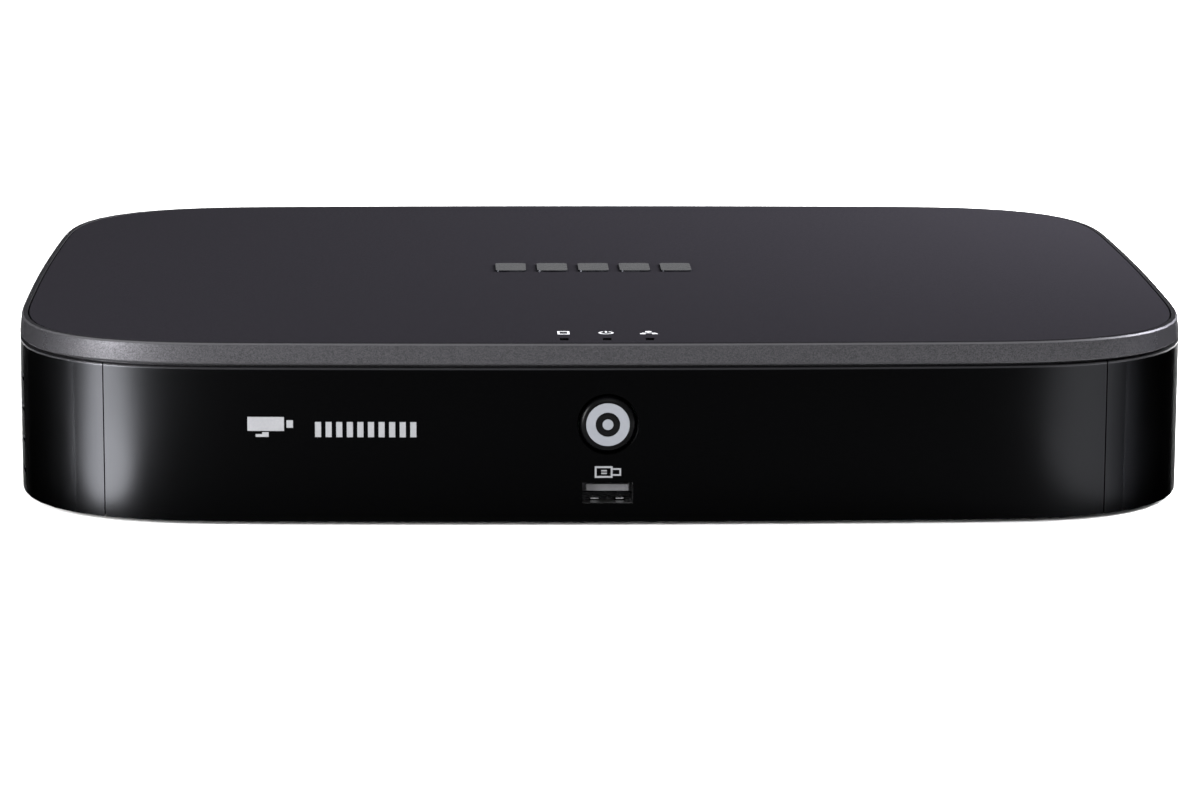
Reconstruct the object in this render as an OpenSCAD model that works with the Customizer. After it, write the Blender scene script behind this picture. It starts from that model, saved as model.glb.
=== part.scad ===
// Video recorder for security cameras: a low case with a bevelled lid, holding a main board,
// a hard drive, a fan and a front board. Millimetres, +Z up, front towards -Y, resting on Z = 0.

/* [Case] */
// Width of the case at its widest
case_w = 300; // [296:1:304]
// Depth of the case from front edge to back edge
case_d = 238; // [236:1:244]
// Height of the case above its feet
case_h = 44.5; // [44:0.5:47]
// Radius of the corners seen from above
corner_r = 60; // [52:1:66]
// How far each side bows out at its middle
side_bow = 3; // [2:0.5:3.5]
// How far the front and the back bow out at their middles
front_bow = 4; // [3:0.5:4.5]
// Thickness of the moulded walls
wall = 2.4; // [2:0.1:2.6]
// Thickness of the case floor
floor_t = 2; // [1.8:0.1:2.2]
// Height of the rubber feet
foot_h = 1; // [1:0.5:4]

/* [Lid] */
// Height of the band around the lid
band_h = 5.3; // [5:0.1:5.6]
// Dark reveal between the band and the case wall
reveal = 0.7; // [0.4:0.1:1]
// Thickness of the inlaid top plate
top_plate_t = 1.6; // [1.2:0.1:1.8]
// Width of the groove around the top plate
groove_w = 0.5; // [0.3:0.1:0.8]

/* [Front] */
// Distance of each front seam from the middle
seam_x = 124.5; // [118:0.5:126]
// Diameter of the round button
button_d = 13.9; // [12:0.1:15]
// How far the button travels when it is pressed
button_travel = 0.6; // [0.3:0.1:0.8]
// Height of the button's middle above the case's underside
button_up = 24.5; // [23:0.1:25]
// Spacing of the three status windows
window_pitch = 10.6; // [9:0.1:12]

/* [Rear] */
// How far the rear panel sits in from the back edge
panel_inset = 8; // [7:0.5:9]
// Distance between two columns of video sockets
video_pitch_x = 18; // [17:0.5:18.5]
// Distance between the two rows of video sockets
video_pitch_z = 15; // [14.5:0.1:15.2]

/* [Hidden] */
$fn = 48;

play = 0.1;          // gap between pieces that slip together
snug = 0.05;         // gap between pieces that are fixed together
head_play = 0.3;     // room around a screw's head
eps = 0.5;           // how far a cutting shape runs past a face
half_w = case_w / 2;
half_d = case_d / 2;

// How far the video sockets and the button stand out of the case, which sets the case's
// place in depth so that the origin is the middle of the whole recorder.
barrel_reach = 12;
button_proud = 0.4;
case_cy = (button_proud - (barrel_reach - panel_inset)) / 2;
front_y = case_cy - half_d;
panel_y = case_cy + half_d - panel_inset;
panel_t = 1;

// Heights
floor_z = foot_h;
floor_top = floor_z + floor_t;
top_z = foot_h + case_h;
band_z = top_z - band_h;
wall_top = band_z - reveal;
plate_z = top_z - top_plate_t;
ceiling_t = 1.6;
ceiling_z = plate_z - ceiling_t;
skirt_z = wall_top - 1.5;

// Lid section, measured inwards from the case's outline
band_edge = 0.45;
band_lean = 0.5;
thin = 0.05;
rim_in = 2;
skirt_out = wall + 0.4;
skirt_in = skirt_out + 1.6;

// Screws
m3_r = 1.5;
m3_hole_r = 1.7;
m3_pilot_r = 1.55;
m3_head_r = 2.8;
m3_head_h = 1.8;
unc_r = 1.75;
unc_head_r = 3.2;

// ---------------------------------------------------------------- outline of the case

side_steps = 4;
back_steps = 6;
corner_step = 6;
corner_power = 3;

function corner_reach(a) =
    corner_r / pow(pow(abs(cos(a)), corner_power) + pow(abs(sin(a)), corner_power), 1 / corner_power);

quadrant = concat(
    [for (k = [0 : side_steps - 1]) [half_w, (half_d - corner_r) * k / side_steps]],
    [for (a = [0 : corner_step : 90])
        [half_w - corner_r, half_d - corner_r] + corner_reach(a) * [cos(a), sin(a)]],
    [for (k = [back_steps - 1 : -1 : 0]) [(half_w - corner_r) * k / back_steps, half_d]]
);
last = len(quadrant) - 1;

function bowed(p) = [
    p.x - sign(p.x) * side_bow * pow(p.y / half_d, 2),
    p.y - sign(p.y) * front_bow * pow(p.x / half_w, 2) + case_cy
];

rim = [for (p = concat(
    [for (k = [0 : last - 1]) quadrant[k]],
    [for (k = [last : -1 : 1]) [-quadrant[k].x, quadrant[k].y]],
    [for (k = [0 : last - 1]) -quadrant[k]],
    [for (k = [last : -1 : 1]) [quadrant[k].x, -quadrant[k].y]]
)) bowed(p)];

// The outline moved inwards, square to itself
function outline(inset) = let (n = len(rim)) [
    for (i = [0 : n - 1])
        let (d = rim[(i + 1) % n] - rim[(i + n - 1) % n])
            rim[i] - inset * [d.y, -d.x] / norm(d)
];

module slab(inset, z, h) {
    translate([0, 0, z]) linear_extrude(h) polygon(outline(inset));
}

module shell_ring(outer, inner, z, h) {
    difference() {
        slab(outer, z, h);
        slab(inner, z - eps, h + 2 * eps);
    }
}

// ---------------------------------------------------------------- shared shapes

module box(x, y, z) {
    translate([x[0], y[0], z[0]]) cube([x[1] - x[0], y[1] - y[0], z[1] - z[0]]);
}

// A cylinder along Y from y0 to y1, and one along X from x0 to x1
module rod_y(r, y0, y1) {
    translate([0, y0, 0]) rotate([-90, 0, 0]) cylinder(r = r, h = y1 - y0);
}

module rod_x(r, x0, x1) {
    translate([x0, 0, 0]) rotate([0, 90, 0]) cylinder(r = r, h = x1 - x0);
}

module tube_y(r_out, r_in, y0, y1) {
    difference() {
        rod_y(r_out, y0, y1);
        rod_y(r_in, y0 - eps, y1 + eps);
    }
}

// A pan-head screw with a cross recess, its head standing on Z = 0 and its shank below
module pan_screw(length, r = m3_r, head_r = m3_head_r, head_h = m3_head_h) {
    slot_w = 0.7;
    slot_l = head_r * 1.3;
    slot_d = head_h * 0.6;
    rim_h = head_h * 0.6;
    crown_r = head_r * 0.72;
    difference() {
        union() {
            cylinder(r = head_r, h = rim_h);
            translate([0, 0, rim_h]) cylinder(r1 = head_r, r2 = crown_r, h = head_h - rim_h);
            translate([0, 0, -length]) cylinder(r = r, h = length + eps);
        }
        for (a = [0, 90]) rotate(a) translate([-slot_l / 2, -slot_w / 2, head_h - slot_d])
            cube([slot_l, slot_w, slot_d + eps]);
    }
}

// A flat ribbon that stands on edge and follows the points of a path
function ribbon_side(path, offset) = let (n = len(path)) [
    for (i = [0 : n - 1])
        let (d = path[min(i + 1, n - 1)] - path[max(i - 1, 0)])
            path[i] + offset * [-d.y, d.x] / norm(d)
];

module ribbon(path, t, z, h) {
    left = ribbon_side(path, t / 2);
    right = ribbon_side(path, -t / 2);
    translate([0, 0, z]) linear_extrude(h)
        polygon(concat(left, [for (i = [len(right) - 1 : -1 : 0]) right[i]]));
}

// Points of a quarter turn from one heading to the next
function bend(centre, r, a0, a1, steps = 5) = [
    for (k = [0 : steps]) let (a = a0 + (a1 - a0) * k / steps) centre + r * [cos(a), sin(a)]
];

// ---------------------------------------------------------------- places of the inner parts

// Main board
board_up = 4;
board_t = 1.6;
board_z = floor_top + board_up;
board_top = board_z + board_t;
board_x = 106;
board_y = [case_cy + 11, panel_y - panel_t - 1];
board_screw_x = 101;
board_screw_y = [board_y[0] + 4.5, board_y[0] + 38];

// Hard drive, 3.5 inch form with one disc
drive_l = 147;
drive_w = 101.6;
drive_h = 20.2;
drive_pad = 2;
drive_z = floor_top + drive_pad;
drive_x = [-75, -75 + drive_l];
drive_y = [case_cy - 92.5, case_cy - 92.5 + drive_w];
drive_hole_x = [drive_x[1] - 41.28 - 44.45, drive_x[1] - 41.28];
drive_hole_y = [drive_y[0] + 3.18, drive_y[1] - 3.18];

// Fan on the left wall
fan_size = 35;
fan_t = 10;
fan_hole = 29;
fan_x = -half_w + wall + 4.6;
fan_y = case_cy - 40;
fan_z = floor_top + fan_size / 2 + 0.2;

// Front board, standing behind the front panel
front_board_t = 1.6;
front_board_y = front_y + 18.4;
front_board_x = 40;
board_post_x = 34;
front_board_z = [floor_top + 1, ceiling_z - 3.6];
button_z = floor_z + button_up;
usb_z = floor_z + 7.2;
window_y = front_y + 7.6;

// Screws that hold the case together
tower = [126, 84];
tower_r = 4.2;
tower_top = floor_z + 26;
tower_web = 3;
clip_x = 70;
clip_y = front_y + 10;
clip_h = 6;
clip_r = 3.6;
clip_head_h = 0.8;
drive_head_sink = 1.8;
board_post_r = 3.2;
drive_post_r = 5;
fan_post_r = 2.4;
front_post_r = 3.4;

// Rear opening and its screws
opening_x = 115;
cheek = 2.2;
flange_w = 7;
panel_screw = [111.4, 13, 36];

// Centres of the rear sockets, as seen from behind from right to left
video_x = [for (k = [0 : 3]) 98 - k * video_pitch_x];
video_z = [board_top + 7, board_top + 7 + video_pitch_z];
audio_x = 26;
audio_z = [board_top + 8, board_top + 22];
vga_at = [0, board_top + 6.4];
hdmi_at = [-32, board_top + 2.67];
rear_usb_at = [-52, board_top + 2.87];
lan_at = [-73, board_top + 6.8];
ground_at = [-88, 34];
dc_at = [-96, board_top + 6.5];

module at_panel(p) {
    translate([p[0], panel_y, p[1]]) children();
}

module each_video() {
    for (x = video_x, z = video_z) at_panel([x, z]) children();
}

module each_audio() {
    for (z = audio_z) at_panel([audio_x, z]) children();
}

module each_tower() {
    for (sx = [-1, 1], sy = [-1, 1]) translate([sx * tower[0], case_cy + sy * tower[1], 0]) children();
}

module each_foot() {
    for (x = [-110, 110], y = [-74, 82]) translate([x, case_cy + y, 0]) children();
}

module each_board_screw() {
    for (x = [-board_screw_x, board_screw_x], y = board_screw_y) translate([x, y, 0]) children();
}

module each_drive_hole() {
    for (x = drive_hole_x, y = drive_hole_y) translate([x, y, 0]) children();
}

module each_fan_hole() {
    for (y = [-1, 1], z = [-1, 1])
        translate([0, fan_y + y * fan_hole / 2, fan_z + z * fan_hole / 2]) children();
}

module each_panel_screw() {
    for (x = [-panel_screw[0], panel_screw[0]], z = [panel_screw[1], panel_screw[2]])
        at_panel([x, z]) children();
}

// ---------------------------------------------------------------- case

foot_r = 7;
foot_sink = 0.6;
foot_edge = [[0.8, 0], [0.3, 0.15], [0, 0.5]];   // inset and height along the rounded edge
foot_dimple_r = 2.2;
foot_dimple_h = 0.8;
foot_top = foot_h + foot_sink - 0.02;
vent_rows = [for (k = [0 : 3]) floor_z + 5.7 + 7.9 * k];
vent_slot = [5.8, 1.5];
vent_pitch = 9.67;
vent_columns = 9;
vent_depth = 5.5;
floor_slot = [2, 24];
floor_slot_pitch = 5;
floor_vent_back = [[-60, 24], 28];   // where each rear group starts in X, and their Y
floor_vent_front = [94, -54];

module side_vents() {
    for (z = vent_rows, k = [0 : vent_columns - 1]) {
        y = fan_y + (k - (vent_columns - 1) / 2) * vent_pitch;
        for (s = [-1, 1]) scale([s, 1, 1]) box([half_w - vent_depth, half_w + eps],
            [y - vent_slot[0] / 2, y + vent_slot[0] / 2], [z - vent_slot[1] / 2, z + vent_slot[1] / 2]);
    }
}

module floor_vent_group(x0, y0, slots) {
    for (k = [0 : slots - 1]) translate([x0 + floor_slot_pitch * k, case_cy + y0, 0])
        box([0, floor_slot[0]], [0, floor_slot[1]], [floor_z - eps, floor_top + eps]);
}

module floor_vents() {
    for (x0 = floor_vent_back[0]) floor_vent_group(x0, floor_vent_back[1], 8);
    floor_vent_group(floor_vent_front[0], floor_vent_front[1], 7);
}

module rear_flanges() {
    intersection() {
        slab(wall / 2, floor_z + 1, wall_top - floor_z - 1);
        union() for (s = [-1, 1]) scale([s, 1, 1]) {
            box([opening_x, opening_x + cheek], [panel_y - 6, panel_y + 20], [floor_z + 1, wall_top]);
            box([opening_x - flange_w, opening_x + 1], [panel_y - panel_t - 2.6, panel_y - panel_t - play],
                [floor_z + 1, wall_top]);
        }
    }
}

module case_walls() {
    difference() {
        union() {
            slab(0, floor_z, floor_t);
            shell_ring(0, wall, floor_z, wall_top - floor_z);
        }
        // front opening, down to the underside, where the front panel closes the case
        intersection() {
            box([-seam_x, seam_x], [front_y - 2, case_cy], [floor_z - eps, wall_top + eps]);
            shell_ring(-1, wall + 0.2, floor_z - 1, wall_top);
        }
        box([-opening_x, opening_x], [panel_y - 4, panel_y + 30], [floor_top, wall_top + eps]);
        side_vents();
        floor_vents();
    }
}

module lower_case() color([0.02, 0.02, 0.024]) difference() {
    union() {
        case_walls();
        rear_flanges();
        each_tower() translate([0, 0, floor_z + 0.5]) cylinder(r = tower_r, h = tower_top - floor_z - 0.5);
        each_board_screw() translate([0, 0, floor_top - 1]) cylinder(r = board_post_r, h = board_up + 1);
        each_drive_hole() translate([0, 0, floor_top - 1]) cylinder(r = drive_post_r, h = drive_pad + 1);
        for (k = [0 : 3]) intersection() {
            slab(wall / 2, floor_top, wall_top - floor_top);
            translate([0, fan_y + (k % 2 - 0.5) * fan_hole, fan_z + (floor(k / 2) - 0.5) * fan_hole])
                rod_x(fan_post_r, -half_w, fan_x - play);
        }
    }
    each_tower() {
        translate([0, 0, floor_z - eps])
            cylinder(r = m3_head_r + head_play, h = tower_top - tower_web - floor_z + eps);
        cylinder(r = m3_hole_r, h = tower_top + 1);
    }
    each_board_screw() translate([0, 0, floor_z + 1]) cylinder(r = m3_pilot_r, h = board_z);
    each_drive_hole() {
        cylinder(r = unc_r + 0.25, h = drive_z + 1);
        translate([0, 0, floor_z - eps]) cylinder(r = unc_head_r + head_play, h = drive_head_sink + eps);
    }
    for (sx = [-1, 1]) translate([sx * clip_x, clip_y, 0]) {
        cylinder(r = m3_hole_r, h = floor_top + 1);
        translate([0, 0, floor_z - eps]) cylinder(r = m3_head_r + head_play, h = clip_head_h + eps);
    }
    each_fan_hole() rod_x(m3_pilot_r, -half_w + wall + 0.6, fan_x + 1);
    each_panel_screw() rod_y(m3_pilot_r, -panel_t - 4, 0);
    each_foot() translate([0, 0, floor_z - eps]) cylinder(r = foot_r + 0.2, h = foot_sink + eps);
}

module rubber_feet() color([0.06, 0.06, 0.06]) each_foot() difference() {
    rotate_extrude() polygon(concat(
        [[0, 0]],
        [for (p = foot_edge) [foot_r - p[0], p[1]]],
        [[foot_r, foot_top], [0, foot_top]]
    ));
    translate([0, 0, -eps]) cylinder(r = foot_dimple_r, h = foot_dimple_h + eps);
}

// ---------------------------------------------------------------- front panel and button

bore_r = button_d / 2 + 0.45;
bore_edge = 0.25;
collar_r = bore_r + 1.8;
collar_l = 5.5;
usb_mouth = [12.5, 5.3];
usb_lip = 0.7;
usb_pocket = [13.5, 6.1];
usb_shell = [13.1, 5.7];
usb_wall = 0.3;
usb_tab_x = 5.5;
usb_tab_r = 0.9;
spring_x = 3.1;
spring_window = [2.4, [3, 8]];    // width, and where it starts and ends behind the mouth
spring_leaf = [1.9, 4.8, 0.25];   // width, length and thickness
spring_lean = 7;
tongue_w = 10.4;
tongue_y = 1.2;
tongue_z = [0.25, 1.9];
tongue_root = [12.2, 4.8];        // width and height of the block behind the tongue

module front_panel() color([0.01, 0.01, 0.012]) difference() {
    union() {
        intersection() {
            box([-seam_x + 0.3, seam_x - 0.3], [front_y - 2, case_cy], [floor_z - 1, wall_top + 1]);
            difference() {
                slab(0, floor_z, wall_top - floor_z);
                slab(wall, floor_z - 1, wall_top);
            }
        }
        translate([0, front_y + wall / 2, button_z]) rod_y(collar_r, 0, collar_l - wall / 2);
        // posts that carry the front board
        for (sx = [-1, 1]) translate([sx * board_post_x, 0, button_z])
            rod_y(front_post_r, front_y + wall - 0.8, front_board_y - 0.02);
        // lips that stand on the floor and take the two screws from below
        for (sx = [-1, 1]) translate([sx * clip_x, 0, floor_top + snug]) {
            translate([0, clip_y, 0]) cylinder(r = clip_r, h = clip_h);
            box([-clip_r, clip_r], [front_y + wall - 0.3, clip_y], [0, clip_h - snug]);
        }
    }
    translate([0, front_y, button_z]) {
        rod_y(bore_r, -1, collar_l + 1);
        translate([0, bore_edge, 0]) rotate([90, 0, 0])
            cylinder(r1 = bore_r, r2 = bore_r + bore_edge + eps, h = bore_edge + eps);
    }
    translate([0, front_y, usb_z]) {
        box([-usb_mouth[0] / 2, usb_mouth[0] / 2], [-1, wall], [-usb_mouth[1] / 2, usb_mouth[1] / 2]);
        box([-usb_pocket[0] / 2, usb_pocket[0] / 2], [usb_lip, wall + 1],
            [-usb_pocket[1] / 2, usb_pocket[1] / 2]);
    }
    for (sx = [-1, 1]) translate([sx * clip_x, clip_y, 0])
        cylinder(r = m3_pilot_r, h = floor_top + clip_h - 1);
    for (sx = [-1, 1]) translate([sx * board_post_x, 0, button_z])
        rod_y(m3_pilot_r, front_board_y - 6, front_board_y + 1);
}

// Button: a cap with a bevelled shoulder, and a pale ring and dot let into its face
button_r = button_d / 2;
ring_r = [3, 5.38];
dot_r = 1.36;
inlay_t = 0.5;
inlay_play = 0.03;
cap_edge = [[0.95, 0.12], [0.5, 0.36], [0.18, 0.76], [0, 1.4]];   // inset and depth along the shoulder
cap_flat = 0.1;
cap_wall = 1.2;
cap_web = 2;
cap_depth = 5.2;
stem_r = 2;
cap_face = front_y - button_proud;
plunger_tip = front_board_y - 5;
stem_end = plunger_tip - cap_face - snug;

module button_cap() color([0.03, 0.03, 0.033])
translate([0, cap_face, button_z]) rotate([-90, 0, 0]) difference() {
    rotate_extrude() polygon(concat(
        [[0, 0], [ring_r[1] + cap_flat, 0]],
        [for (p = cap_edge) [button_r - p[0], p[1]]],
        [[button_r, cap_depth], [button_r - cap_wall, cap_depth], [button_r - cap_wall, cap_web]],
        [[stem_r, cap_web], [stem_r, stem_end], [0, stem_end]]
    ));
    translate([0, 0, -eps]) difference() {
        cylinder(r = ring_r[1], h = inlay_t + eps);
        translate([0, 0, -eps]) cylinder(r = ring_r[0], h = inlay_t + 3 * eps);
    }
    translate([0, 0, -eps]) cylinder(r = dot_r, h = inlay_t + eps);
}

module button_ring() color([0.78, 0.8, 0.83])
translate([0, cap_face, button_z]) rotate([-90, 0, 0]) {
    difference() {
        cylinder(r = ring_r[1] - inlay_play, h = inlay_t - 0.02);
        translate([0, 0, -eps]) cylinder(r = ring_r[0] + inlay_play, h = inlay_t + 2 * eps);
    }
    cylinder(r = dot_r - inlay_play, h = inlay_t - 0.02);
}

switch_size = 6;
switch_t = 3.6;
plunger_r = 1.7;
plunger_well = 2.4;
peg_at = 2.2;
peg_r = 0.5;

module switch_body() color([0.12, 0.12, 0.13]) translate([0, front_board_y, button_z]) difference() {
    union() {
        box([-switch_size / 2, switch_size / 2], [-switch_t, 0], [-switch_size / 2, switch_size / 2]);
        for (x = [-1, 1], z = [-1, 1]) translate([x * peg_at, 0, z * peg_at])
            rod_y(peg_r, -switch_t - 0.25, -1);
    }
    rod_y(plunger_r + 0.08, -switch_t - 1, -switch_t + plunger_well);
}

module switch_plunger() color([0.85, 0.84, 0.8]) translate([0, front_board_y, button_z])
    rod_y(plunger_r, plunger_tip - front_board_y, -switch_t + plunger_well - button_travel - 0.15);

module front_board() color([0.05, 0.22, 0.12]) difference() {
    box([-front_board_x, front_board_x], [front_board_y, front_board_y + front_board_t], front_board_z);
    for (sx = [-1, 1]) translate([sx * board_post_x, 0, button_z])
        rod_y(m3_hole_r, front_board_y - 1, front_board_y + 3);
    for (x = [-usb_tab_x, usb_tab_x]) translate([x, 0, usb_z])
        rod_y(usb_tab_r + 0.2, front_board_y - 1, front_board_y + 3);
}

// Three indicator lamps under the light pipes, and one lamp each side of the switch
lamp_z = ceiling_z - 6.4;

module front_leds() color([0.9, 0.9, 0.82]) {
    for (k = [-1 : 1]) translate([k * window_pitch, front_board_y, lamp_z])
        box([-1.5, 1.5], [-1.2, 0], [-0.8, 0.8]);
    for (x = [-4.9, 4.9]) translate([x, front_board_y, button_z]) box([-0.8, 0.8], [-0.9, 0], [-1.4, 1.4]);
}

// The metal shell of a type A socket, with a window and a leaf spring at each quarter
module usb_shell_box(length) {
    half = usb_shell / 2;
    inner = half - [usb_wall, usb_wall];
    difference() {
        box([-half.x, half.x], [0, length], [-half.y, half.y]);
        box([-inner.x, inner.x], [-1, length - 1], [-inner.y, inner.y]);
        for (x = [-spring_x, spring_x]) translate([x, 0, 0])
            box([-spring_window[0] / 2, spring_window[0] / 2], spring_window[1], [-usb_shell.y, usb_shell.y]);
    }
    for (x = [-spring_x, spring_x])
        translate([x, spring_window[1][1] + play, -half.y]) rotate([-spring_lean, 0, 0])
            box([-spring_leaf[0] / 2, spring_leaf[0] / 2], [-spring_leaf[1], 0], [0, spring_leaf[2]]);
}

// The plastic tongue on the upper side of the socket, and the block behind it
module usb_tongue_block(length) {
    box([-tongue_w / 2, tongue_w / 2], [tongue_y, length - 2], tongue_z);
    box([-tongue_root.x / 2, tongue_root.x / 2], [length - 4, length - 1.2],
        [-tongue_root.y / 2, tongue_root.y / 2]);
}

front_usb_y = front_y + usb_lip + snug;
front_usb_l = front_board_y - front_usb_y - 0.1;

module front_usb_shell() color([0.75, 0.75, 0.77]) {
    translate([0, front_usb_y, usb_z]) usb_shell_box(front_usb_l);
    for (x = [-usb_tab_x, usb_tab_x]) translate([x, 0, usb_z])
        rod_y(usb_tab_r, front_board_y - 0.15, front_board_y + 2.4);
}

module front_usb_tongue() color([0.08, 0.08, 0.085])
    translate([0, front_usb_y, usb_z]) usb_tongue_block(front_usb_l);

// ---------------------------------------------------------------- lid

window = [1.9, 3.2];
pipe_play = 0.12;

module window_holes(grow, z0, z1) {
    for (k = [-1 : 1]) box([k * window_pitch - window[0] / 2 - grow, k * window_pitch + window[0] / 2 + grow],
        [window_y - window[1] / 2 - grow, window_y + window[1] / 2 + grow], [z0, z1]);
}

module lid_frame() color([0.17, 0.17, 0.18]) difference() {
    union() {
        difference() {
            union() {
                hull() {
                    slab(band_edge, band_z, thin);
                    slab(0, band_z + band_edge, thin);
                    slab(band_lean, top_z - band_edge - thin, thin);
                    slab(band_lean + band_edge, top_z - thin, thin);
                }
                slab(skirt_out, skirt_z, band_z - skirt_z + 1);
            }
            slab(rim_in, plate_z, top_plate_t + 1);
            slab(skirt_in, skirt_z - 1, ceiling_z - skirt_z + 1);
            box([-opening_x - 3, opening_x + 3], [panel_y - 8, panel_y + 30], [skirt_z - 1, band_z]);
            box([-opening_x, opening_x], [panel_y - panel_t - 0.2, panel_y + 0.2], [skirt_z - 1, ceiling_z]);
        }
        // eave over the rear sockets
        intersection() {
            slab(skirt_in - 0.5, band_z, ceiling_z - band_z + 0.5);
            box([-opening_x, opening_x], [panel_y + 0.2, panel_y + 30], [band_z, ceiling_z + 1]);
        }
        each_tower() translate([0, 0, tower_top + play])
            cylinder(r = tower_r, h = ceiling_z - tower_top + 0.5);
    }
    each_tower() translate([0, 0, tower_top - 1]) cylinder(r = m3_pilot_r, h = 12);
    window_holes(pipe_play, ceiling_z - 1, plate_z + 1);
}

badge_bar = [8.2, 12.6];
badge_pitch = 11.2;
badge_t = 0.8;
badge_r = 1.2;

// Five plain raised bars in a row
module badge_block(grow, z, h) {
    x = badge_bar[0] / 2 - badge_r;
    y = badge_bar[1] / 2 - badge_r;
    for (k = [-2 : 2]) translate([k * badge_pitch, case_cy, z]) {
        box([-x, x], [-badge_bar[1] / 2 - grow, badge_bar[1] / 2 + grow], [0, h]);
        box([-badge_bar[0] / 2 - grow, badge_bar[0] / 2 + grow], [-y, y], [0, h]);
        for (sx = [-1, 1], sy = [-1, 1]) translate([sx * x, sy * y, 0]) cylinder(r = badge_r + grow, h = h);
    }
}

icon_y = front_y + 16.3;

// Three pictures printed on the top plate: a drive, a power mark and a linked network
module icon_drive(h) difference() {
    box([-1.5, 1.5], [-2.2, 2.2], [0, h]);
    box([-0.95, 0.95], [-1.5, 1.5], [-1, h + 1]);
}

module icon_power(h) {
    difference() {
        cylinder(r = 1.9, h = h);
        translate([0, 0, -1]) cylinder(r = 1.35, h = h + 2);
        box([-0.7, 0.7], [0, 3], [-1, h + 1]);
    }
    box([-0.27, 0.27], [0.1, 2.3], [0, h]);
}

module icon_network(h) {
    box([-0.8, 0.8], [0.8, 2.2], [0, h]);
    box([-0.2, 0.2], [-0.2, 0.8], [0, h]);
    box([-1.7, 1.7], [-0.5, -0.1], [0, h]);
    for (x = [-1.5, 1.5]) {
        box([x - 0.2, x + 0.2], [-0.9, -0.4], [0, h]);
        box([x - 0.7, x + 0.7], [-2, -0.8], [0, h]);
    }
}

module status_icons() color([0.86, 0.87, 0.89]) translate([0, icon_y, top_z + print_gap]) {
    translate([-window_pitch, 0, 0]) icon_drive(print_t);
    icon_power(print_t);
    translate([window_pitch, 0, 0]) icon_network(print_t);
}

module top_plate() color([0.13, 0.13, 0.14]) difference() {
    slab(rim_in + groove_w, plate_z + 0.02, top_plate_t - 0.02);
    badge_block(play, top_z - badge_t / 2, 1);
    window_holes(pipe_play, plate_z - 1, top_z + 1);
}

module top_badge() color([0.36, 0.36, 0.38]) badge_block(0, top_z - badge_t / 2 + 0.01, badge_t);

// Clear pipes that carry the lamps' light to the windows, joined by a bar under the lid
module light_pipes() color([0.8, 0.85, 0.9, 0.5]) {
    pipe_low = lamp_z - 1;
    difference() {
        union() {
            window_holes(0, pipe_low, top_z);
            for (k = [-1 : 1]) box([k * window_pitch - window[0] / 2, k * window_pitch + window[0] / 2],
                [window_y, front_board_y - 1.5], [pipe_low, lamp_z + 1]);
            box([-window_pitch - 2.4, window_pitch + 2.4], [window_y - 0.9, window_y + 0.9],
                [ceiling_z - 2.6, ceiling_z - 0.8]);
        }
        // mirror face at each bend
        for (k = [-1 : 1]) translate([k * window_pitch, window_y - window[1] / 2, pipe_low])
            rotate([45, 0, 0]) cube([window[0] + 1, 1.8, 1.8], center = true);
    }
}

// Pale marks printed on the front: a camera picture with a row of bars, and a plug picture
print_gap = 0.02;
print_t = 0.06;
mark_z = [floor_z + 21.3, floor_z + 26.3];
bar_top = mark_z[0] + 3.8;
bars = 10;
bar_x = -72;
bar_pitch = 2.6;
bar_w = 1.5;
plug_z = [floor_z + 11.1, floor_z + 14];

module printed(z) {
    intersection() {
        shell_ring(-print_gap - print_t, -print_gap, z[0] - 1, z[1] - z[0] + 2);
        translate([0, front_y - 1, 0]) rotate([-90, 0, 0]) linear_extrude(10) mirror([0, 1]) children();
    }
}

module camera_picture() {
    h = mark_z[1] - mark_z[0];
    translate([-88.6, mark_z[0] + 1.5]) square([9, h - 1.5]);
    translate([-79, mark_z[0] + 2.3]) square([1.6, h - 3.1]);
    translate([-85, mark_z[0]]) square([1.6, 1.2]);
    translate([-86.6, mark_z[0]]) square([3.2, 0.7]);
}

module plug_picture() {
    difference() {
        translate([-3.2, plug_z[0]]) square([4.4, plug_z[1] - plug_z[0]]);
        translate([-2.75, plug_z[0] + 0.45]) square([3.5, plug_z[1] - plug_z[0] - 0.9]);
    }
    difference() {
        translate([1.2, plug_z[0] + 0.5]) square([2.1, plug_z[1] - plug_z[0] - 1]);
        translate([1.2, plug_z[0] + 0.9]) square([1.7, plug_z[1] - plug_z[0] - 1.8]);
    }
    for (z = [0.95, 1.6]) translate([-1.6, plug_z[0] + z]) square([1.4, 0.35]);
}

module front_print() color([0.86, 0.87, 0.88]) {
    printed(mark_z) {
        camera_picture();
        for (k = [0 : bars - 1]) translate([bar_x + bar_pitch * k, mark_z[0]])
            square([bar_w, bar_top - mark_z[0]]);
    }
    printed(plug_z) plug_picture();
}

// ---------------------------------------------------------------- screws

module case_screws() color([0.2, 0.2, 0.21]) {
    each_tower() translate([0, 0, tower_top - tower_web]) mirror([0, 0, 1]) pan_screw(12);
    for (sx = [-1, 1]) translate([sx * clip_x, clip_y, floor_z + clip_head_h]) mirror([0, 0, 1])
        pan_screw(6, head_h = clip_head_h);
    each_panel_screw() rotate([-90, 0, 0]) pan_screw(4.4);
}

module board_screws() color([0.75, 0.75, 0.77]) {
    each_board_screw() translate([0, 0, board_top]) pan_screw(5);
    for (sx = [-1, 1]) translate([sx * board_post_x, front_board_y + front_board_t, button_z])
        rotate([-90, 0, 0]) pan_screw(6);
}

module drive_screws() color([0.75, 0.75, 0.77])
    each_drive_hole() translate([0, 0, floor_z + drive_head_sink]) mirror([0, 0, 1])
        pan_screw(5.5, unc_r, unc_head_r, 1.7);

module fan_screws() color([0.2, 0.2, 0.21])
    each_fan_hole() translate([fan_x + fan_t, 0, 0]) rotate([0, 90, 0]) pan_screw(13.4);

// ---------------------------------------------------------------- rear panel and its sockets

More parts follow.
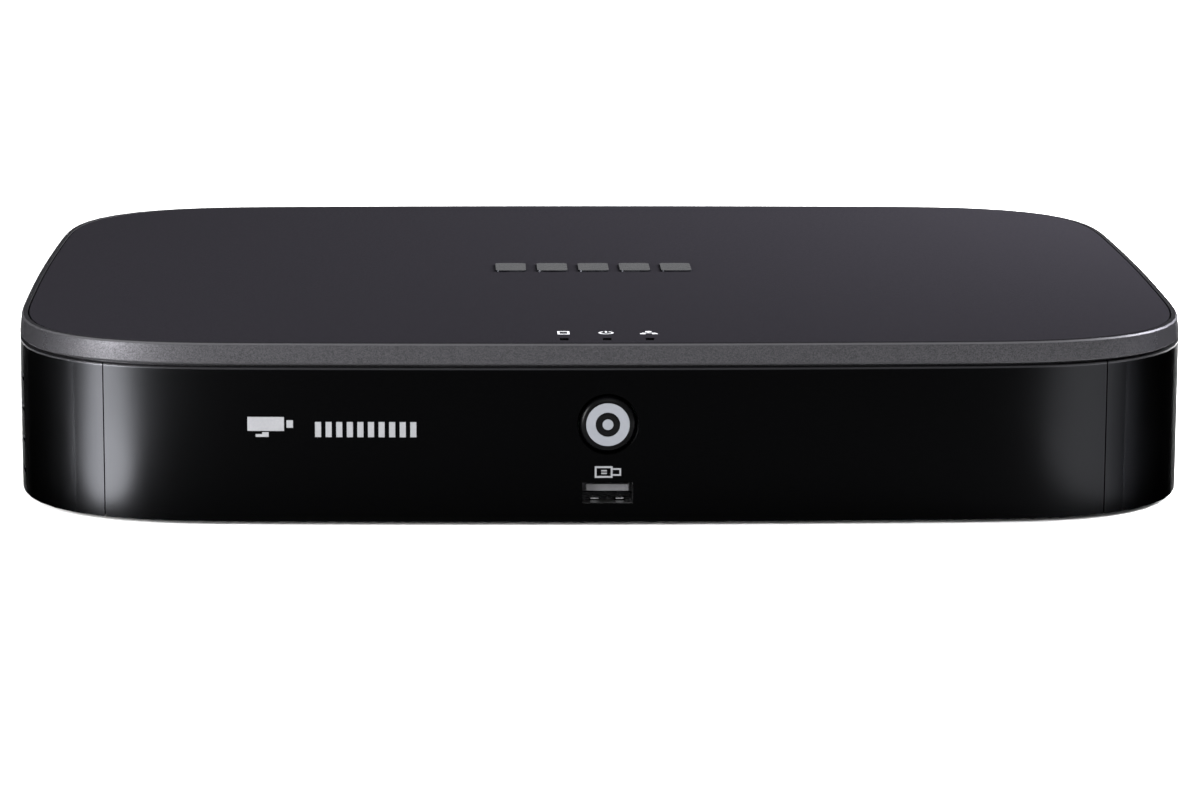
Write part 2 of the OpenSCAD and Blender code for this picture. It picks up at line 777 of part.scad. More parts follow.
cut_y = [-5, 5];   // how far a cut-out runs each way from the panel's face
jack_x = 12.5;
pin_pitch = 2.29;
pin_row_pitch = 1.98;

module port_cutouts() {
    each_video() rod_y(6.6, cut_y[0], cut_y[1]);
    each_audio() rod_y(4.6, cut_y[0], cut_y[1]);
    at_panel(vga_at) {
        box([-9, 9], cut_y, [-4.7, 4.7]);
        for (x = [-jack_x, jack_x]) translate([x, 0, 0]) rod_y(1.7, cut_y[0], cut_y[1]);
    }
    at_panel(hdmi_at) box([-7.7, 7.7], cut_y, [-3.1, 3.1]);
    at_panel(rear_usb_at) box([-6.85, 6.85], cut_y, [-3.15, 3.15]);
    at_panel(lan_at) box([-8.2, 8.2], cut_y, [-6.9, 6.9]);
    at_panel(dc_at) box([-4.8, 4.8], cut_y, [-6.6, 4.8]);
    at_panel(ground_at) rod_y(m3_hole_r, cut_y[0], cut_y[1]);
    each_panel_screw() rod_y(m3_hole_r, cut_y[0], cut_y[1]);
}

module rear_panel() color([0.05, 0.05, 0.055]) difference() {
    box([-opening_x + 0.2, opening_x - 0.2], [panel_y - panel_t, panel_y],
        [floor_top + snug, ceiling_z - 0.15]);
    port_cutouts();
    // short air slots between the sockets and the lid
    for (k = [0 : 11]) translate([-72 + 6 * k, 0, 0])
        box([0, 2.4], [panel_y - 5, panel_y + 5], [floor_z + 30, floor_z + 37]);
}

housing_y = -panel_t - 0.1;

module bnc_housings() color([0.06, 0.06, 0.065]) for (x = video_x) difference() {
    at_panel([x, 0]) box([-7.2, 7.2], [housing_y - 15, housing_y], [board_top + 0.02, video_z[1] + 7.2]);
    for (z = video_z) at_panel([x, z]) rod_y(4.3, housing_y - 8, 1);
}

module bnc_barrels() color([0.72, 0.72, 0.74]) each_video() {
    difference() {
        union() {
            rod_y(4.2, housing_y - 7.8, 0);
            rod_y(6.3, housing_y + 0.05, 1.4);
            rod_y(4.8, 0, barrel_reach);
            for (s = [-1, 1]) translate([0, 8.6, 0]) scale([s, 1, 1]) rod_x(1, 3, 5.5);
        }
        rod_y(4.1, 2, barrel_reach + 1);
        rod_y(2.6, housing_y - 9, 3);
    }
}

module bnc_insulators() color([0.9, 0.9, 0.88]) each_video() tube_y(2.55, 1.05, housing_y - 7.5, 7.5);

module bnc_contacts() color([0.83, 0.68, 0.3]) each_video() tube_y(1, 0.5, housing_y - 7.4, 7.2);

rca_r = 4.15;

module rca_housing() color([0.05, 0.05, 0.055]) difference() {
    at_panel([audio_x, 0]) box([-5.4, 5.4], [housing_y - 12, housing_y],
        [board_top + 0.02, audio_z[1] + 6.5]);
    for (z = audio_z) at_panel([audio_x, z]) rod_y(rca_r, housing_y - 6, 1);
}

module rca_barrels() color([0.78, 0.78, 0.8]) each_audio() difference() {
    union() {
        rod_y(rca_r, 0, 9.4);
        rod_y(rca_r - 0.2, housing_y - 5.8, 0.5);
    }
    rod_y(3.35, housing_y - 7, 10);
}

module rca_insulators() color([0.85, 0.85, 0.85]) each_audio() tube_y(3.3, 1.65, housing_y - 5.6, 8.9);

// A D-shaped block: wide at the top, narrower below, standing along Y
module d_block(w_top, w_low, h, y0, y1) {
    translate([0, y1, 0]) rotate([90, 0, 0]) linear_extrude(y1 - y0)
        polygon([[-w_low / 2, -h / 2], [w_low / 2, -h / 2], [w_top / 2, h / 2], [-w_top / 2, h / 2]]);
}

module vga_shell() color([0.75, 0.75, 0.77]) at_panel(vga_at) difference() {
    union() {
        box([-15.4, 15.4], [housing_y - 0.9, housing_y], [-6.2, 6.2]);
        d_block(16.9, 14.9, 8.3, housing_y - 0.5, 5.6);
        box([-15.2, 15.2], [housing_y - 12, housing_y - 0.7], [-6.2, 5.6]);
    }
    d_block(16.3, 14.3, 7.7, housing_y - 11.5, 6);
    for (x = [-jack_x, jack_x]) translate([x, 0, 0]) rod_y(1.7, -8, 5);
}

module vga_insulator() color([0.08, 0.16, 0.5]) at_panel(vga_at) difference() {
    d_block(16.1, 14.1, 7.5, housing_y - 11.4, 5);
    for (r = [-1 : 1], k = [-2 : 2])
        translate([k * pin_pitch + (r == 0 ? 1.1 : 0), 0, r * pin_row_pitch]) rod_y(0.55, -3, 6);
}

module vga_jackscrews() color([0.78, 0.78, 0.8]) at_panel(vga_at)
    for (x = [-jack_x, jack_x]) translate([x, 0, 0]) difference() {
        union() {
            translate([0, 0.02, 0]) rotate([-90, 0, 0]) cylinder(r = 2.75, h = 5, $fn = 6);
            rod_y(1.45, -6, 1);
        }
        rod_y(1.1, 0.6, 6);
    }

module hdmi_outline(grow, y0, y1) {
    w = 7.3 + grow;
    h = 2.6 + grow;
    translate([0, y1, 0]) rotate([90, 0, 0]) linear_extrude(y1 - y0)
        polygon([[-w, h], [-w, -h + 1.6], [-w + 1.8, -h], [w - 1.8, -h], [w, -h + 1.6], [w, h]]);
}

module hdmi_shell() color([0.75, 0.75, 0.77]) at_panel(hdmi_at) difference() {
    hdmi_outline(0.05, -11, 0.8);
    hdmi_outline(-0.3, -10, 2);
}

module hdmi_tongue() color([0.05, 0.05, 0.055]) at_panel(hdmi_at) {
    box([-5.4, 5.4], [-8, 0.1], [-0.2, 1]);
    box([-5, 5], [-9.95, -7.9], [-2.1, 2.2]);
}

module lan_shell() color([0.75, 0.75, 0.77]) at_panel(lan_at) difference() {
    box([-8, 8], [-16.5, 0.4], [-6.75, 6.7]);
    box([-7.6, 7.6], [-16.1, 1], [-6.35, 6.3]);
}

module lan_insert() color([0.06, 0.06, 0.065]) at_panel(lan_at) {
    difference() {
        box([-7.5, 7.5], [-16, -0.1], [-6.25, 6.2]);
        box([-5.9, 5.9], [-13, 1], [-4.3, 3.9]);
        box([-3.1, 3.1], [-13, 1], [-5.6, -4]);
        for (x = [-6.7, 6.7]) box([x - 0.9, x + 0.6], [-2, 1], [4.2, 5.7]);
    }
    // contact springs that slope down from the roof
    for (k = [-3.5 : 1 : 3.5]) translate([k * 1.02, -4, 3.95]) rotate([24, 0, 0])
        box([-0.2, 0.2], [-7.6, 0], [-0.35, 0]);
}

module rear_usb_shell() color([0.75, 0.75, 0.77]) at_panel(rear_usb_at) mirror([0, 1, 0])
    translate([0, -0.5, 0]) usb_shell_box(14);

module rear_usb_tongue() color([0.08, 0.08, 0.085]) at_panel(rear_usb_at) mirror([0, 1, 0])
    translate([0, -0.5, 0]) usb_tongue_block(14);

dc_bore_r = 3.2;
dc_pin_r = 1;
dc_stub_r = 0.6;
dc_depth = 9.5;

module dc_jack() color([0.05, 0.05, 0.055]) at_panel(dc_at) difference() {
    box([-4.5, 4.5], [-13.5, 0.6], [-6.45, 4.5]);
    rod_y(dc_bore_r, -dc_depth, 1);
    rod_y(dc_stub_r + 0.03, -12, 1);
}

module dc_pin() color([0.78, 0.78, 0.8]) at_panel(dc_at) {
    rod_y(dc_pin_r, -dc_depth + 0.05, -0.6);
    rod_y(dc_stub_r, -11.8, -dc_depth + 0.3);
}

module ground_screw() color([0.78, 0.78, 0.8]) at_panel(ground_at) {
    rotate([-90, 0, 0]) translate([0, 0, 0.85]) pan_screw(6);
    tube_y(3.4, 1.6, 0.02, 0.8);
}

// ---------------------------------------------------------------- main board

module main_board() color([0.04, 0.2, 0.1]) difference() {
    box([-board_x, board_x], board_y, [board_z, board_top]);
    each_board_screw() translate([0, 0, board_z - 1]) cylinder(r = m3_hole_r, h = 4);
    for (x = [-70 : 35 : 70]) translate([x, board_y[0] + 3, board_z - 1]) cylinder(r = 0.8, h = 4);
}

soc_at = [-20, board_y[0] + 42];

module chip(x, y, w, d, h) {
    translate([0, 0, board_top + 0.01]) box([x - w / 2, x + w / 2], [y - d / 2, y + d / 2], [0, h]);
}

module board_chips() color([0.07, 0.07, 0.075]) {
    chip(soc_at.x, soc_at.y, 25, 25, 1.6);
    for (k = [-1, 1]) chip(soc_at.x + 27, soc_at.y + k * 8, 9, 13, 1.1);
    for (x = video_x) chip(x, board_y[0] + 60, 11, 11, 1.2);
    chip(-60, board_y[0] + 60, 10, 10, 1.1);
    chip(-78, board_y[0] + 34, 6, 5, 1.5);
    chip(-44, board_y[0] + 16, 8, 5.3, 1.8);
    chip(-60, board_y[0] + 46, 3.2, 5, 0.9);
}

module board_capacitors() color([0.16, 0.17, 0.24]) translate([0, 0, board_top + 0.01]) {
    for (p = [[-90, 40], [-90, 51], [-78, 48], [-66, 20]])
        translate([p.x, board_y[0] + p.y, 0]) cylinder(r = 4, h = 11.5);
    for (x = video_x, s = [-1, 1])
        translate([x + s * 4, board_y[0] + 48, 0]) cylinder(r = 2, h = 5.4);
}

header_at = [[-88, 4], [-60, 4], [84, 22]];
header_half = [5, 2.6];
header_wall = 0.7;
header_h = 6.4;
sata_at = [88, board_y[0] + 5];

module board_headers() color([0.88, 0.87, 0.82]) translate([0, 0, board_top + 0.01]) {
    for (p = header_at) translate([p.x, board_y[0] + p.y, 0]) difference() {
        inner = header_half - [header_wall, header_wall];
        box([-header_half.x, header_half.x], [-header_half.y, header_half.y], [0, header_h]);
        box([-inner.x, inner.x], [-inner.y, inner.y], [1.4, header_h + 1.6]);
    }
    translate([sata_at.x, sata_at.y, 0]) box([-8, 8], [-2.8, 2.8], [0, 4.2]);
}

module heat_sink() color([0.3, 0.31, 0.33]) translate([soc_at.x, soc_at.y, board_top + 1.65]) {
    size = 34;
    box([-size / 2, size / 2], [-size / 2, size / 2], [0, 2.6]);
    for (k = [0 : 8]) translate([-size / 2 + k * (size - 1.2) / 8, 0, 0])
        box([0, 1.2], [-size / 2, size / 2], [2, 15]);
}

cell_at = [20, board_y[0] + 14];

module cell_holder() color([0.1, 0.1, 0.11])
translate([cell_at.x, cell_at.y, board_top + 0.01]) difference() {
    cylinder(r = 11.6, h = 4.4);
    translate([0, 0, 0.8]) cylinder(r = 10.2, h = 6);
    box([-5, 5], [-14, -8], [0.8, 6]);
}

module coin_cell() color([0.78, 0.78, 0.8]) translate([cell_at.x, cell_at.y, board_top + 0.85]) {
    cylinder(r = 10, h = 2.6);
    cylinder(r = 8.9, h = 3.2);
}

// ---------------------------------------------------------------- hard drive

spindle = [drive_x[0] + 50.8, (drive_y[0] + drive_y[1]) / 2];
pivot = spindle + [57.5, 12.2];
disc_r = 47.5;
disc_room = 1.1;
hub_low_r = 14;
clamp_r = 15;
clamp_top = 3.4;
actuator_r = 7.5;
arm_t = 1.2;
coil_half_w = 11;
disc_z = drive_z + 12.4;
disc_t = 1.3;
arm_l = 48;
parked = 247.3;
coil_l = 24;
cavity_z = drive_z + 5.4;
drive_top = drive_z + drive_h;
cover_t = 1;
spindle_r = 3;
pivot_r = 2.5;
run_gap = 0.06;
coil_reach = 26.5;
yoke_r = [14, 29.4];

module drive_cavity(z0, z1) {
    translate([spindle.x, spindle.y, z0]) cylinder(r = disc_r + disc_room, h = z1 - z0);
    box([spindle.x + 16, drive_x[1] - 9], [drive_y[0] + 4, drive_y[1] - 4], [z0, z1]);
}

module drive_casting() color([0.55, 0.56, 0.58]) difference() {
    union() {
        difference() {
            box(drive_x, drive_y, [drive_z, drive_top - cover_t]);
            drive_cavity(cavity_z, drive_top);
        }
        translate([spindle.x, spindle.y, cavity_z - 1]) cylinder(r = spindle_r, h = disc_z - cavity_z + 4);
        translate([pivot.x, pivot.y, cavity_z - 1]) cylinder(r = pivot_r, h = 13);
    }
    // shallow pocket underneath for the drive's own board
    box([drive_x[1] - 98, drive_x[1] + 1], [drive_y[0] + 9, drive_y[1] - 9], [drive_z - 1, drive_z + 3]);
    each_drive_hole() translate([0, 0, drive_z - 1]) cylinder(r = unc_r + 0.05, h = 4.6);
}

module drive_cover() color([0.7, 0.71, 0.73]) {
    lid = 0.8;
    box([drive_x[0] + lid, drive_x[1] - lid], [drive_y[0] + lid, drive_y[1] - lid],
        [drive_top - cover_t + 0.01, drive_top]);
}

module drive_platters() color([0.8, 0.81, 0.83]) translate([spindle.x, spindle.y, 0]) rotate_extrude()
    polygon([
        [spindle_r + run_gap, cavity_z + 1], [hub_low_r, cavity_z + 1], [hub_low_r, disc_z],
        [disc_r, disc_z], [disc_r, disc_z + disc_t], [clamp_r, disc_z + disc_t],
        [clamp_r, disc_z + clamp_top], [spindle_r + run_gap, disc_z + clamp_top]
    ]);

module drive_actuator() color([0.72, 0.73, 0.75]) translate([pivot.x, pivot.y, 0]) {
    difference() {
        union() {
            translate([0, 0, cavity_z + 1]) cylinder(r = actuator_r, h = 11.6);
            rotate(parked) {
                // one arm over the disc and one under it
                for (z = [disc_z - 2 * arm_t, disc_z + disc_t + arm_t]) translate([0, 0, z])
                    linear_extrude(arm_t) polygon([
                        [0, -6], [arm_l - 14, -1.8], [arm_l, -1],
                        [arm_l, 1], [arm_l - 14, 1.8], [0, 6]
                    ]);
                // coil carrier behind the pivot
                translate([0, 0, disc_z - 0.6]) linear_extrude(2.6) polygon([
                    [0, -6], [-coil_l, -coil_half_w], [-coil_l - 1.5, 0],
                    [-coil_l, coil_half_w], [0, 6]
                ]);
            }
        }
        translate([0, 0, cavity_z]) cylinder(r = pivot_r + run_gap, h = 16);
    }
}

module sector(r0, r1, a0, a1, z, h) {
    translate([0, 0, z]) linear_extrude(h) polygon(concat(
        [for (k = [0 : 8]) let (a = a0 + (a1 - a0) * k / 8) r1 * [cos(a), sin(a)]],
        [for (k = [8 : -1 : 0]) let (a = a0 + (a1 - a0) * k / 8) r0 * [cos(a), sin(a)]]
    ));
}

// Two plates above and below the coil, joined by an arc outside the coil's sweep
module drive_magnets() color([0.6, 0.61, 0.63]) translate([pivot.x, pivot.y, 0]) {
    low_top = disc_z - 1.7;
    sector(yoke_r[0], yoke_r[1], 0, 90, cavity_z + 0.01, low_top - cavity_z);
    sector(yoke_r[0], yoke_r[1], 0, 90, disc_z + 3, 2.6);
    sector(coil_reach + 1, yoke_r[1], 25, 75, low_top - 1, disc_z + 5 - low_top);
}

module drive_board() color([0.05, 0.25, 0.14]) {
    box([drive_x[1] - 97, drive_x[1] - 0.5], [drive_y[0] + 10, drive_y[1] - 10],
        [drive_z + 0.2, drive_z + 1.4]);
    // combined data and power socket at the end
    box([drive_x[1] - 6.5, drive_x[1] + 0.5], [drive_y[0] + 12, drive_y[0] + 46],
        [drive_z + 1.39, drive_z + 2.9]);
}

// ---------------------------------------------------------------- fan

hub_r = 8;
rotor_r = 8.6;
fan_shaft_r = 1;
blades = 7;
blade = [0.9, 7.6, 7.2];
blade_pitch = 38;

module fan_frame() color([0.04, 0.04, 0.045]) translate([fan_x, fan_y, fan_z]) {
    difference() {
        box([0, fan_t], [-fan_size / 2, fan_size / 2], [-fan_size / 2, fan_size / 2]);
        rod_x(fan_size / 2 - 1, -1, fan_t + 1);
        for (y = [-1, 1], z = [-1, 1]) translate([0, y * fan_hole / 2, z * fan_hole / 2])
            rod_x(m3_hole_r, -1, fan_t + 1);
    }
    // hub plate, its arms and the bearing post
    difference() {
        union() {
            rod_x(hub_r, 0, 1.6);
            rod_x(3, 0, 4);
            for (a = [0, 90, 180, 270]) rotate([a + 30, 0, 0])
                box([0, 1.6], [7, fan_size / 2 - 0.5], [-1, 1]);
        }
        rod_x(fan_shaft_r + snug, -1, 6);
    }
}

module fan_rotor() color([0.05, 0.05, 0.055]) translate([fan_x, fan_y, fan_z]) {
    difference() {
        rod_x(rotor_r, 2.1, fan_t - 0.6);
        rod_x(rotor_r - 1.2, 1, fan_t - 1.8);
    }
    rod_x(fan_shaft_r, 0.4, fan_t - 1.5);
    for (k = [0 : blades - 1]) rotate([k * 360 / blades, 0, 0]) translate([5.8, 0, 12])
        rotate([0, 0, blade_pitch]) cube(blade, center = true);
}

// ---------------------------------------------------------------- cables

ribbon_t = 1.2;
plug = [4.2, 1.8];
plug_z0 = board_top + 1.45;

module header_plug(p, z1) {
    translate([p.x, board_y[0] + p.y, 0]) box([-plug[0], plug[0]], [-plug[1], plug[1]], [plug_z0, z1]);
}

// Runs from the front board round the left end of the drive to the main board
module front_cable() color([0.75, 0.75, 0.76]) {
    z = floor_top + 12.1;
    h = 7;
    x_turn = drive_x[0] - 9;
    y_back = front_board_y + front_board_t;
    y_run = y_back + 1.6;
    end = header_at[1];
    ribbon(concat(
        [[-20, y_run]],
        bend([x_turn + 6, y_run + 6], 6, -90, -180),
        bend([x_turn + 8, 3], 8, 180, 90),
        [[end.x - 1, board_y[0] + end.y - 0.6]]
    ), ribbon_t, z, h);
    box([-26, -16], [y_back + 0.05, y_run + 1.4], [z - 1, z + h + 1]);
    header_plug(end, z + h);
}

module fan_cable() color([0.08, 0.08, 0.085]) {
    z = floor_top + 13;
    h = 3;
    x_start = fan_x + fan_t + 0.05 + ribbon_t / 2;
    end = header_at[0];
    ribbon(concat(
        [[x_start, fan_y + fan_size / 2 - 6]],
        bend([x_start + 10, 0], 10, 180, 90),
        [[end.x - 1, board_y[0] + end.y - 0.6]]
    ), ribbon_t, z, h);
    header_plug(end, z + h);
}

drive_plug_l = 9;
drive_plug_z = [drive_z - 0.5, drive_z + 5];

// Plug on the drive, flat lead beside it, and plug on the main board
module sata_data_cable() color([0.55, 0.06, 0.05]) {
    x_end = drive_x[1] + 0.6;
    y_end = drive_y[0] + 18;
    box([x_end, x_end + drive_plug_l], [y_end - 5, y_end + 5], drive_plug_z);
    ribbon(concat(
        [[x_end + drive_plug_l - 2, y_end]],
        bend([sata_at.x - 6, y_end + 6], 6, -90, 0),
        [[sata_at.x, board_y[0] - 1.6]]
    ), ribbon_t, drive_z, 6.4);
    box([sata_at.x - 5, sata_at.x + 5], [board_y[0] - 3.4, sata_at.y - 2.9],
        [board_top + play, board_top + 5]);
}

module sata_power_cable() color([0.1, 0.1, 0.11]) {
    x_end = drive_x[1] + 0.6;
    y_end = drive_y[0] + 36;
    z = board_top + 9;
    h = 7;
    end = header_at[2];
    box([x_end, x_end + drive_plug_l], [y_end - 9, y_end + 9], drive_plug_z);
    box([x_end + 3, x_end + drive_plug_l - 0.1], [y_end + 1, y_end + 7], [drive_plug_z[1] - 0.1, z + h]);
    ribbon(concat(
        bend([x_end + 6, y_end + 12], 8, -90, 0),
        [[x_end + 14, board_y[0]]],
        [[end.x, board_y[0] + end.y - 1]]
    ), ribbon_t, z, h);
    header_plug(end, z + h - 0.1);
}

// ---------------------------------------------------------------- the nodes

lower_case();
front_panel();
rear_panel();
lid_frame();
top_plate();
top_badge();
status_icons();
front_print();
light_pipes();
rubber_feet();
case_screws();
board_screws();
drive_screws();
fan_screws();
front_board();
switch_body();
switch_plunger();
button_cap();
button_ring();
front_leds();
front_usb_shell();
front_usb_tongue();
front_cable();
main_board();
board_chips();
board_capacitors();
board_headers();
heat_sink();
coin_cell();
cell_holder();
bnc_housings();
bnc_barrels();
bnc_insulators();
bnc_contacts();
rca_housing();
rca_barrels();
rca_insulators();
vga_shell();
vga_insulator();
vga_jackscrews();
hdmi_shell();
hdmi_tongue();
lan_shell();
lan_insert();
rear_usb_shell();
rear_usb_tongue();
dc_jack();
dc_pin();
ground_screw();
drive_casting();
drive_cover();
drive_platters();
drive_actuator();
drive_magnets();
drive_board();
fan_frame();
fan_rotor();
fan_cable();
sata_data_cable();
sata_power_cable();
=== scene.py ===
import math

import bpy
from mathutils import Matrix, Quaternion, Vector


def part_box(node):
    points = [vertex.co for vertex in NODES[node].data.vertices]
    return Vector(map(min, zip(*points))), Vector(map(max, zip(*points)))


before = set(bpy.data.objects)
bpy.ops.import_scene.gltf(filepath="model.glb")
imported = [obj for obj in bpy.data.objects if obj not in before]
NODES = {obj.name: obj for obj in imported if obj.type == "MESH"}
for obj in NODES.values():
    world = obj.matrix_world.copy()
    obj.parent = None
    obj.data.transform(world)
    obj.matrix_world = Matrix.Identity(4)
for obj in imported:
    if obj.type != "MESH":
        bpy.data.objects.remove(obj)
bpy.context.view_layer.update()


def middle(node):
    """Middle of a CAD node's box, in metres."""
    lo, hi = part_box(node)
    return (Vector(lo) + Vector(hi)) / 2


# ---------------------------------------------------------------- camera

CAM_LENS = 131.73
CAM_SENSOR = 36.0
CAM_DISTANCE = 1.1978
CAM_ELEVATION = math.radians(10.085)
CAM_YAW = math.radians(-1.829)
CAM_ROLL = math.radians(0.233)
# Where the middle of the case falls in the picture, as tangents right of and above its middle
CAM_OFFSET = (-0.00164, 0.01168)
CAM_CLIP = (0.05, 60)

case_mid = middle("lid_frame")
case_mid.z = (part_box("lower_case")[0][2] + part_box("top_plate")[1][2]) / 2
back = Vector((
    math.sin(CAM_YAW) * math.cos(CAM_ELEVATION),
    -math.cos(CAM_YAW) * math.cos(CAM_ELEVATION),
    math.sin(CAM_ELEVATION),
))
look = (-back).to_track_quat("-Z", "Y")
look = look @ Quaternion((0, 0, 1), CAM_ROLL)
aim = Vector((CAM_OFFSET[0], CAM_OFFSET[1], -1)).normalized()
look = look @ aim.rotation_difference(Vector((0, 0, -1)))
cam_data = bpy.data.cameras.new("camera")
cam_data.lens = CAM_LENS
cam_data.sensor_width = CAM_SENSOR
cam_data.clip_start, cam_data.clip_end = CAM_CLIP
camera = bpy.data.objects.new("camera", cam_data)
camera.location = case_mid + back * CAM_DISTANCE
camera.rotation_mode = "QUATERNION"
camera.rotation_quaternion = look
bpy.context.scene.collection.objects.link(camera)
bpy.context.scene.camera = camera


# ---------------------------------------------------------------- materials

# Painted highlight along the top of the black parts, a paler, duller paint standing in for the light
# their top edge catches: where it begins and is full, below their top
EDGE_FADE = 0.0005
EDGE_LINE = 0.0003
EDGE_HIGHLIGHT_PAINT = (0.012, 0.012, 0.0132)
# Chamfers along the top and the bottom of the lid's band, and the painted highlight on them: its paint
# and where across a chamfer it is full
CHAMFER = 0.00045
BAND_HEIGHT = 0.0053
GLINT_PAINT = (0.085, 0.084, 0.09)
GLINT_SPAN = (0.15, 0.8)
# The case's black, and how its reflections are tinted when seen along the surface
BLACK = (0.0011, 0.00112, 0.00121)
BLACK_SPEC = 0.0175
BLACK_EDGE = 0.06
# Flakes in the lid's paint
FLAKE_SCALE = 5000
FLAKE_DARK = (0.025, 0.0247, 0.0268)
FLAKE_LIGHT = (0.052, 0.0513, 0.0556)


def material(name, colour, rough=0.5, metal=0.0, spec=0.5, edge=1.0):
    """Principled material. edge tints the mirror reflection near grazing angles."""
    m = bpy.data.materials.new(name)
    m.use_nodes = True
    m.node_tree.nodes.clear()
    out = m.node_tree.nodes.new("ShaderNodeOutputMaterial")
    b = m.node_tree.nodes.new("ShaderNodeBsdfPrincipled")
    m.node_tree.links.new(b.outputs[0], out.inputs["Surface"])
    b.inputs["Base Color"].default_value = (*colour, 1)
    b.inputs["Roughness"].default_value = rough
    b.inputs["Metallic"].default_value = metal
    b.inputs["Specular IOR Level"].default_value = spec
    b.inputs["Specular Tint"].default_value = (edge, edge, edge, 1)
    m.diffuse_color = (*colour, 1)
    return m


def shader(m):
    return next(n for n in m.node_tree.nodes if n.type == "BSDF_PRINCIPLED")


def coords(m, scale=(1, 1, 1)):
    """Object coordinates in metres, stretched by scale."""
    t = m.node_tree
    co = t.nodes.new("ShaderNodeTexCoord")
    mp = t.nodes.new("ShaderNodeMapping")
    mp.inputs["Scale"].default_value = scale
    t.links.new(co.outputs["Object"], mp.inputs["Vector"])
    return mp.outputs["Vector"]


def noise(m, scale, detail=2.0, stretch=(1, 1, 1)):
    n = m.node_tree.nodes.new("ShaderNodeTexNoise")
    n.inputs["Scale"].default_value = scale
    n.inputs["Detail"].default_value = detail
    m.node_tree.links.new(coords(m, stretch), n.inputs["Vector"])
    return n.outputs["Fac"]


def remap(m, value, to_lo, to_hi, lo=0.35, hi=0.65):
    r = m.node_tree.nodes.new("ShaderNodeMapRange")
    r.inputs["From Min"].default_value = lo
    r.inputs["From Max"].default_value = hi
    r.inputs["To Min"].default_value = to_lo
    r.inputs["To Max"].default_value = to_hi
    m.node_tree.links.new(value, r.inputs["Value"])
    return r.outputs["Result"]


def vary_rough(m, scale, lo, hi, **kw):
    m.node_tree.links.new(remap(m, noise(m, scale, **kw), lo, hi), shader(m).inputs["Roughness"])


def blend(m, value, dark, light, lo=0.0, hi=1.0):
    """Colour ramp from dark to light, driven by value."""
    ramp = m.node_tree.nodes.new("ShaderNodeValToRGB")
    ramp.color_ramp.elements[0].position = lo
    ramp.color_ramp.elements[0].color = (*dark, 1)
    ramp.color_ramp.elements[1].position = hi
    ramp.color_ramp.elements[1].color = (*light, 1)
    m.node_tree.links.new(value, ramp.inputs["Fac"])
    return ramp


def vary_colour(m, scale, dark, light, lo=0.35, hi=0.65, **kw):
    ramp = blend(m, noise(m, scale, **kw), dark, light, lo, hi)
    m.node_tree.links.new(ramp.outputs["Color"], shader(m).inputs["Base Color"])


def grain(m, scale, strength, distance=0.00005, **kw):
    b = m.node_tree.nodes.new("ShaderNodeBump")
    b.inputs["Strength"].default_value = strength
    b.inputs["Distance"].default_value = distance
    m.node_tree.links.new(noise(m, scale, **kw), b.inputs["Height"])
    m.node_tree.links.new(b.outputs["Normal"], shader(m).inputs["Normal"])


def height(m):
    """Height in object coordinates, in metres."""
    parts = m.node_tree.nodes.new("ShaderNodeSeparateXYZ")
    m.node_tree.links.new(coords(m), parts.inputs[0])
    return parts.outputs["Z"]


def painted_edge_highlight(m, top):
    """Painted highlight: turns the last bit of a black part below the height top into a paler, duller
    paint, standing in for the light its top edge catches.
    """
    t = m.node_tree
    line = remap(m, height(m), 0, 1, top - EDGE_FADE, top - EDGE_LINE)
    b = shader(m)
    mix = t.nodes.new("ShaderNodeMix")
    mix.data_type = "RGBA"
    mix.inputs["A"].default_value = b.inputs["Base Color"].default_value
    mix.inputs["B"].default_value = (*EDGE_HIGHLIGHT_PAINT, 1)
    t.links.new(line, mix.inputs["Factor"])
    t.links.new(mix.outputs["Result"], b.inputs["Base Color"])
    t.links.new(remap(m, line, 1, 0, 0, 1), b.inputs["Metallic"])


def glint_edges(m, node):
    """Painted highlight: brightens the paint on the two small chamfers at the top and the bottom of the
    lid's band, where they would catch light.
    """
    t = m.node_tree
    b = shader(m)
    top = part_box(node)[1][2]
    for low in (top - CHAMFER, top - BAND_HEIGHT):
        climb = remap(m, height(m), 0, 1, low, low + CHAMFER)
        pulse = blend(m, climb, (0, 0, 0), (0, 0, 0))
        for at in GLINT_SPAN:
            pulse.color_ramp.elements.new(at).color = (1, 1, 1, 1)
        mix = t.nodes.new("ShaderNodeMix")
        mix.data_type = "RGBA"
        mix.inputs["B"].default_value = (*GLINT_PAINT, 1)
        t.links.new(pulse.outputs["Color"], mix.inputs["Factor"])
        t.links.new(b.inputs["Base Color"].links[0].from_socket, mix.inputs["A"])
        t.links.new(mix.outputs["Result"], b.inputs["Base Color"])


def wear(node, mat):
    """Gives a CAD node, or the floor, one material."""
    o = NODES[node] if isinstance(node, str) else node
    o.data.materials.clear()
    o.data.materials.append(mat)


def plastic(name, colour, rough=0.45, spec=0.4, bump=0.25, scale=2600):
    m = material(name, colour, rough, spec=spec)
    vary_rough(m, 60, rough - 0.05, rough + 0.05, detail=3)
    grain(m, scale, bump)
    return m


def metal(name, colour, rough=0.25, brushed=None, edge=1.0):
    m = material(name, colour, rough, metal=1.0, edge=edge)
    vary_rough(m, 220, max(rough - 0.06, 0.03), rough + 0.08, stretch=brushed or (1, 1, 1))
    if brushed:
        grain(m, 900, 0.15, stretch=brushed)
    return m


# top plate: soft charcoal
plate = material("soft_charcoal", (0.0148, 0.014, 0.017), 0.6, metal=0.3, spec=0.0, edge=0.1)
vary_colour(plate, 3400, (0.0126, 0.0119, 0.0146), (0.017, 0.0161, 0.0194), 0.3, 0.7, detail=1)
vary_rough(plate, 900, 0.58, 0.64, detail=2)
grain(plate, 3200, 0.2)
wear("top_plate", plate)

